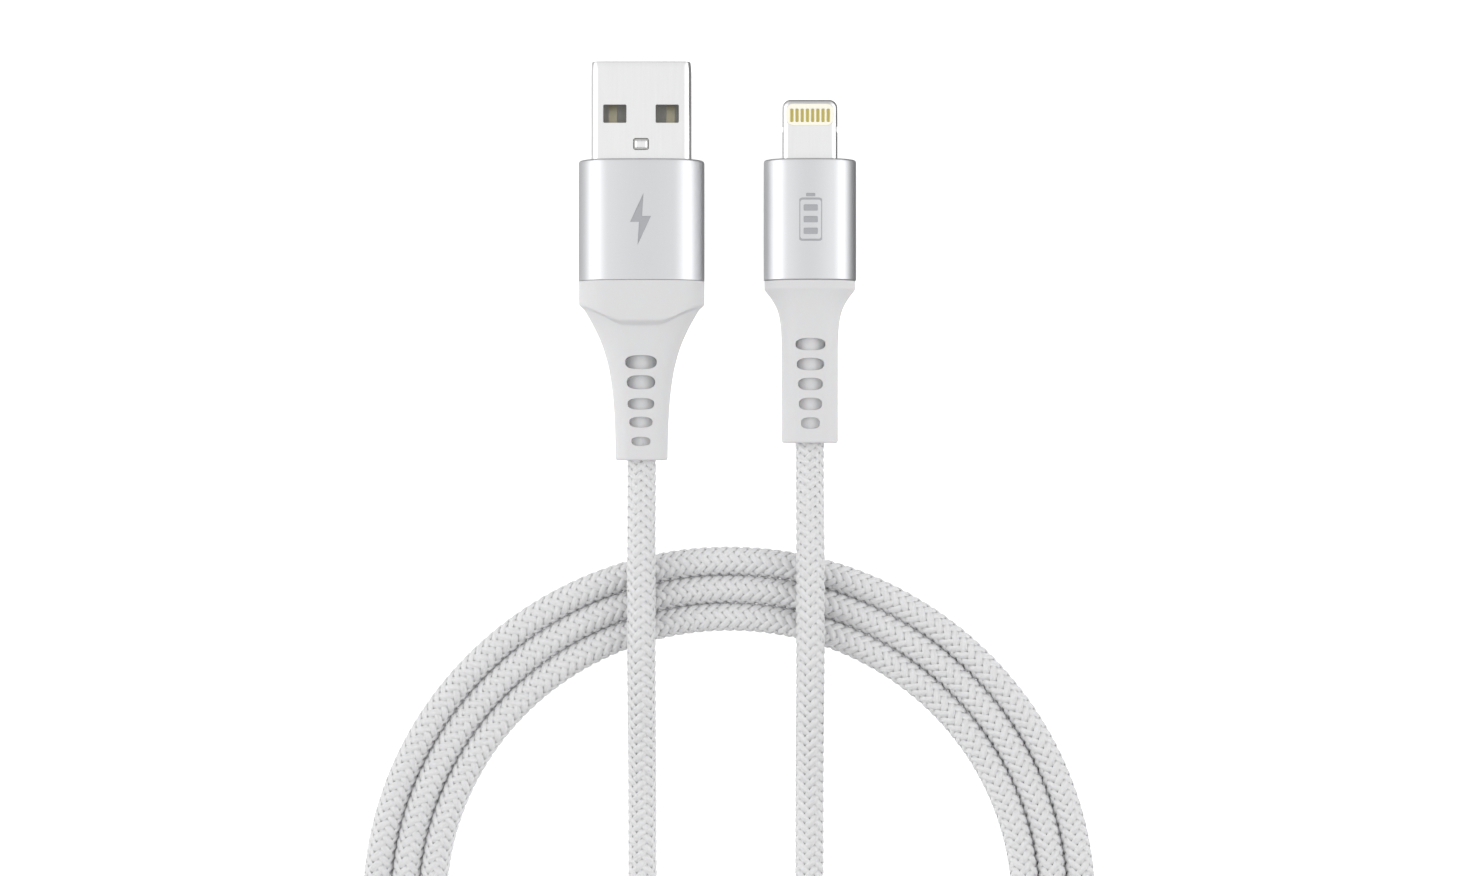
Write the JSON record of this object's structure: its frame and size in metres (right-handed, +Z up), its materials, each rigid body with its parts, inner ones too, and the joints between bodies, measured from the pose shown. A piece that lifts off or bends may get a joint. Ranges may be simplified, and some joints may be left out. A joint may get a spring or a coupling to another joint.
{
  "type": "braided charging cable",
  "caption": "Braided phone charging cable with two aluminium-sleeved plugs and soft boots, its cord laid in a round coil on the table.",
  "frame": {"origin": "bottom centre of the two plugs' common box, on the table the cable lies on", "axes": "+Y along both plugs, from the coil towards the tips; +X to the right from the charger plug to the phone plug; +Z up from the table"},
  "size_m": [0.0886, 0.1467, 0.0076],
  "materials": {
    "nickel_plated_steel": "nickel-plated spring steel, satin",
    "grey_insulator": "moulded light grey insulator",
    "gold_plated_contacts": "gold plate on copper alloy",
    "red_wire": "red wire insulation",
    "white_wire": "white wire insulation",
    "green_wire": "green wire insulation",
    "black_wire": "black wire insulation",
    "brass_ferrule": "crimped brass",
    "inner_mould": "low-pressure moulded polyethylene, milky white",
    "anodised_aluminium": "silver anodised aluminium, fine bead blast",
    "white_rubber": "white thermoplastic rubber, satin",
    "white_carrier": "white moulded contact carrier",
    "circuit_board": "green solder mask",
    "black_chip": "black moulded chip package",
    "ceramic_chips": "ceramic capacitors",
    "tinned_steel": "tinned steel shield",
    "woven_braid": "white braided synthetic yarn, slight gloss"
  },
  "bodies": {
    "root": {"charger_shell": "nickel_plated_steel", "charger_insulator": "grey_insulator", "charger_power_contacts": "gold_plated_contacts", "charger_data_contacts": "gold_plated_contacts", "charger_supply_wire": "red_wire", "charger_data_minus_wire": "white_wire", "charger_data_plus_wire": "green_wire", "charger_ground_wire": "black_wire", "charger_ferrule": "brass_ferrule", "charger_inner_mould": "inner_mould", "charger_housing": "anodised_aluminium", "charger_boot": "white_rubber", "phone_tab_frame": "nickel_plated_steel", "phone_contact_carrier": "white_carrier", "phone_contacts_top": "gold_plated_contacts", "phone_contacts_bottom": "gold_plated_contacts", "phone_circuit_board": "circuit_board", "phone_control_chip": "black_chip", "phone_small_chips": "ceramic_chips", "phone_shield_top": "tinned_steel", "phone_shield_bottom": "tinned_steel", "phone_supply_wire": "red_wire", "phone_data_minus_wire": "white_wire", "phone_data_plus_wire": "green_wire", "phone_ground_wire": "black_wire", "phone_ferrule": "brass_ferrule", "phone_inner_mould": "inner_mould", "phone_housing": "anodised_aluminium", "phone_boot": "white_rubber", "cord_charger_lead": "woven_braid", "cord_coil": "woven_braid", "cord_phone_lead": "woven_braid"}
  },
  "joints": []
}
